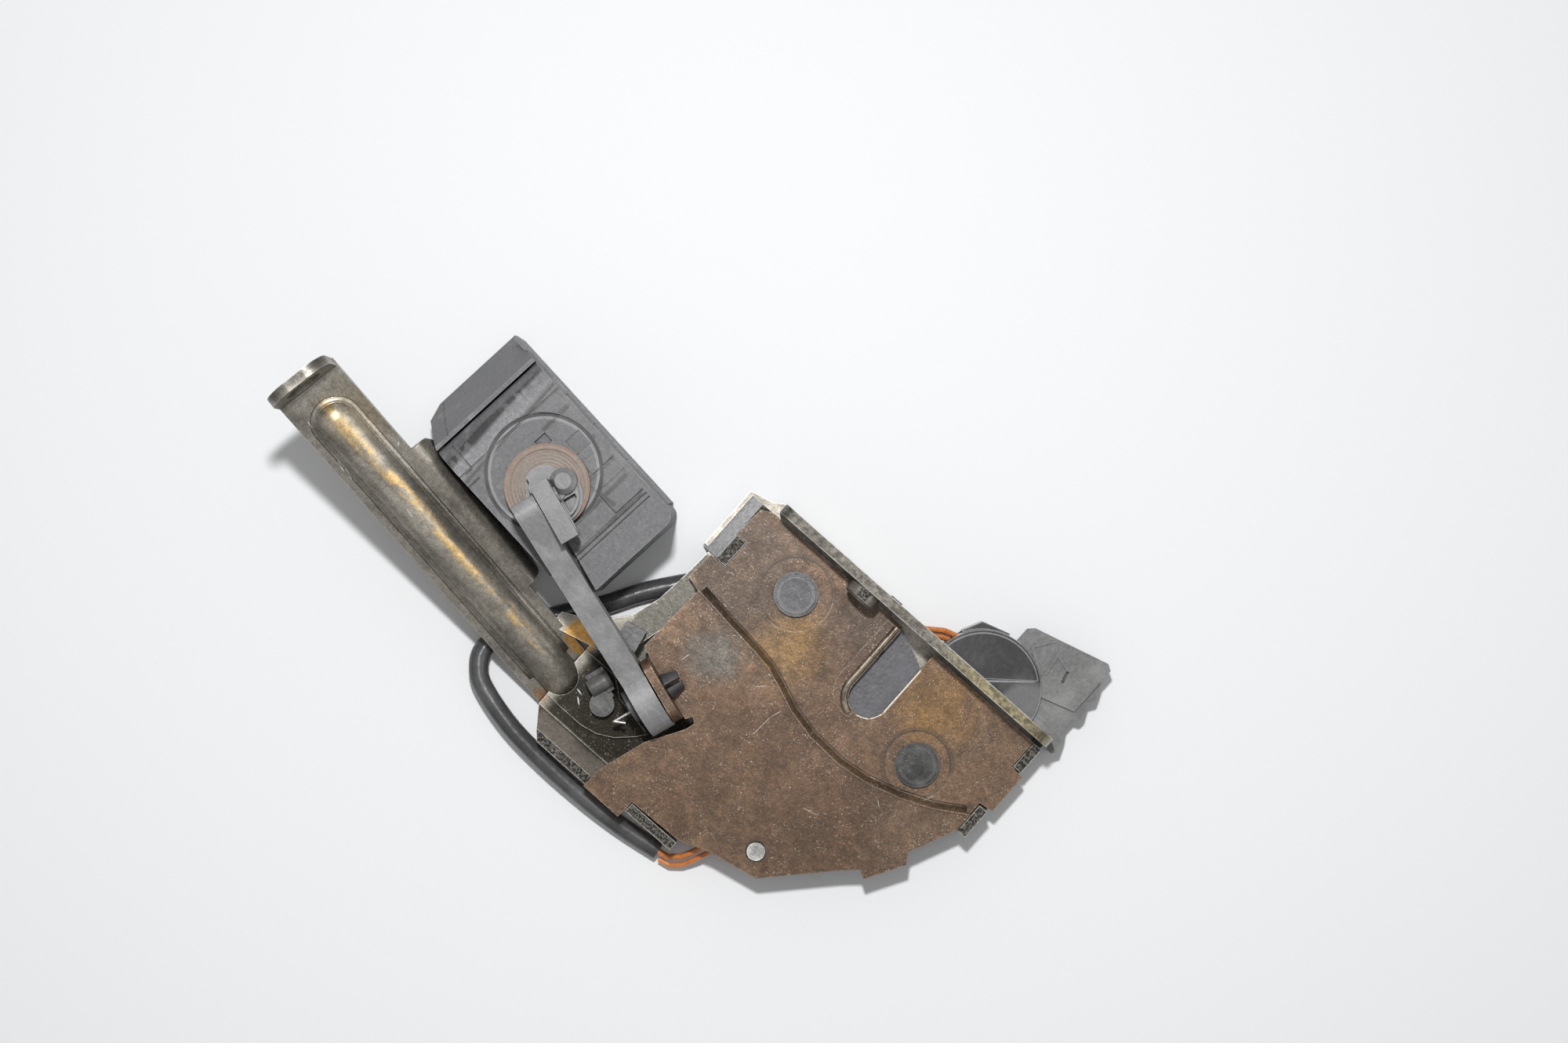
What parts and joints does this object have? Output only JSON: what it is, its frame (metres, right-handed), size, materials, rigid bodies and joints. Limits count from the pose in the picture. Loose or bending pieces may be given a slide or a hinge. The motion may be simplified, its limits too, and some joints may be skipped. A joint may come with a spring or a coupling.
{
  "type": "tailgate window lock",
  "caption": "Vehicle tailgate window lock: rotary latch case with striker slot, bell-crank release lever, electric release actuator on a slanted bracket arm, and wiring connector.",
  "frame": {"origin": "On the flange's outer face at the striker slot, level with the back of the base plate", "axes": "+X along the mounting flange away from the bracket arm, +Y out of the striker slot towards the striker, +Z from the base plate through the cover plate"},
  "size_m": [0.2036, 0.1182, 0.0658],
  "materials": {
    "coated_sheet": "satin coated steel sheet, olive bronze",
    "bronze_sheet": "satin coated steel sheet, mottled brown bronze",
    "rivet_steel": "dark phosphated steel",
    "bright_steel": "plain bright steel",
    "latch_steel": "greased hardened steel",
    "jacket_plastic": "dark blue-grey over-moulding",
    "spring_wire": "spring wire",
    "lever_plastic": "glass-filled grey plastic",
    "black_plastic": "black moulded plastic",
    "disc_rubber": "dusty tan rubber",
    "gear_plastic": "natural acetal",
    "motor_can": "zinc plated motor can",
    "sleeve": "soft black sleeve",
    "wire_jacket": "orange wire insulation",
    "cap_plastic": "shiny black plastic",
    "terminal_brass": "tinned brass",
    "button_red": "red plastic"
  },
  "bodies": {
    "lock_case": {"base_plate": "coated_sheet", "cover_plate": "bronze_sheet", "fork_rivet": "rivet_steel", "pawl_rivet": "rivet_steel", "cover_rivet": "bright_steel", "lever_pin": "black_plastic", "lever_spring": "spring_wire", "lever_stop": "black_plastic", "release_guide": "cap_plastic", "actuator_body": "black_plastic", "actuator_cover": "black_plastic", "actuator_motor": "motor_can", "gear_axle": "bright_steel", "actuator_screws": "bright_steel", "latch_switch": "black_plastic", "cable_sleeve": "sleeve", "switch_wires": "wire_jacket", "connector_wires": "wire_jacket", "wiring_cap": "cap_plastic", "connector_housing": "black_plastic", "connector_terminals": "terminal_brass"},
    "fork": {"fork": "latch_steel", "fork_jacket": "jacket_plastic", "fork_spring": "spring_wire"},
    "pawl": {"pawl": "latch_steel", "pawl_spring": "spring_wire"},
    "crank": {"crank_lever": "lever_plastic"},
    "plunger": {"hook_plunger": "lever_plastic", "plunger_disc": "disc_rubber"},
    "drive_gear": {"drive_gear": "gear_plastic"},
    "motor_pinion": {"motor_pinion": "gear_plastic"},
    "switch_button": {"switch_button": "button_red"}
  },
  "joints": [
    {"name": "plunger_slide", "type": "slide", "parent": "lock_case", "child": "plunger", "axis": [0, 0, 1], "range_m": [0, 0.012], "stiffness_N_per_m": 60, "springref_m": -0.02},
    {"name": "crank_pivot", "type": "hinge", "parent": "lock_case", "child": "crank", "pos_m": [-0.042, -0.0572, 0.017], "axis": [0.3173, 0.9483, 0], "range_deg": [0, 13.6]},
    {"name": "pawl_pivot", "type": "hinge", "parent": "lock_case", "child": "pawl", "pos_m": [-0.032, -0.0157, 0.005], "axis": [0, 0, 1], "range_deg": [-3.9, 0]},
    {"name": "fork_pivot", "type": "hinge", "parent": "lock_case", "child": "fork", "pos_m": [0.02, -0.0278, 0.005], "axis": [0, 0, 1], "range_deg": [0, 48], "stiffness_Nm_per_rad": 0.02, "springref_deg": -20.05},
    {"name": "gear_spin", "type": "hinge", "parent": "lock_case", "child": "drive_gear", "pos_m": [-0.10437, -0.03345, 0.0162], "axis": [0.1045, 0.9945, 0], "range_deg": [-138, 0]},
    {"name": "motor_spin", "type": "hinge", "parent": "lock_case", "child": "motor_pinion", "pos_m": [-0.11633, -0.03219, 0.0081], "axis": [0.1045, 0.9945, 0], "range_deg": [0, 661]},
    {"name": "button_slide", "type": "slide", "parent": "lock_case", "child": "switch_button", "axis": [0, 1, 0], "range_m": [-0.0008, 0], "stiffness_N_per_m": 250, "springref_m": 0.001}
  ],
  "couplings": [
    {"joint": "crank_pivot", "follows": "plunger_slide", "rad_per_m": 19.7},
    {"joint": "pawl_pivot", "follows": "plunger_slide", "rad_per_m": -5.54},
    {"joint": "gear_spin", "follows": "plunger_slide", "rad_per_m": -200},
    {"joint": "motor_spin", "follows": "plunger_slide", "rad_per_m": 960}
  ]
}
